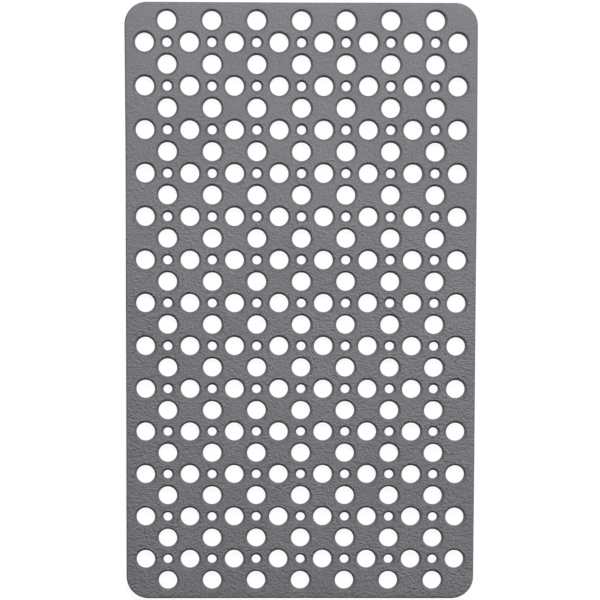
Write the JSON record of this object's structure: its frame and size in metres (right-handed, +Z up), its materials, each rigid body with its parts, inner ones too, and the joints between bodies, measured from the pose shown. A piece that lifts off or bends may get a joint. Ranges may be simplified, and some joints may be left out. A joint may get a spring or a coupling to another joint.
{
  "type": "perforated anti-fatigue mat",
  "caption": "Perforated cushioned floor mat with a grained top skin, bevelled holes, a foam core, a grip base and suction cups beneath its solid lands.",
  "frame": {"origin": "on the floor, under the middle of the mat, at the level of the cups' lips", "axes": "+X across the mat's width, +Y along its length, +Z up out of the walking surface"},
  "size_m": [0.4, 0.684, 0.012],
  "materials": {
    "skin_vinyl": "soft grey vinyl with a fine leather-like grain, satin",
    "foam": "closed-cell foam, matt",
    "grip_base": "plain grey vinyl, matt",
    "cup_vinyl": "soft grey vinyl, smooth and slightly glossy"
  },
  "bodies": {
    "root": {"top_skin": "skin_vinyl", "cushion_core": "foam", "base_sheet": "grip_base", "suction_cups_row_01": "cup_vinyl", "suction_cups_row_02": "cup_vinyl", "suction_cups_row_03": "cup_vinyl", "suction_cups_row_04": "cup_vinyl", "suction_cups_row_05": "cup_vinyl", "suction_cups_row_06": "cup_vinyl", "suction_cups_row_07": "cup_vinyl", "suction_cups_row_08": "cup_vinyl", "suction_cups_row_09": "cup_vinyl", "suction_cups_row_10": "cup_vinyl", "suction_cups_row_11": "cup_vinyl", "suction_cups_row_12": "cup_vinyl", "suction_cups_row_13": "cup_vinyl", "suction_cups_row_14": "cup_vinyl"}
  },
  "joints": []
}
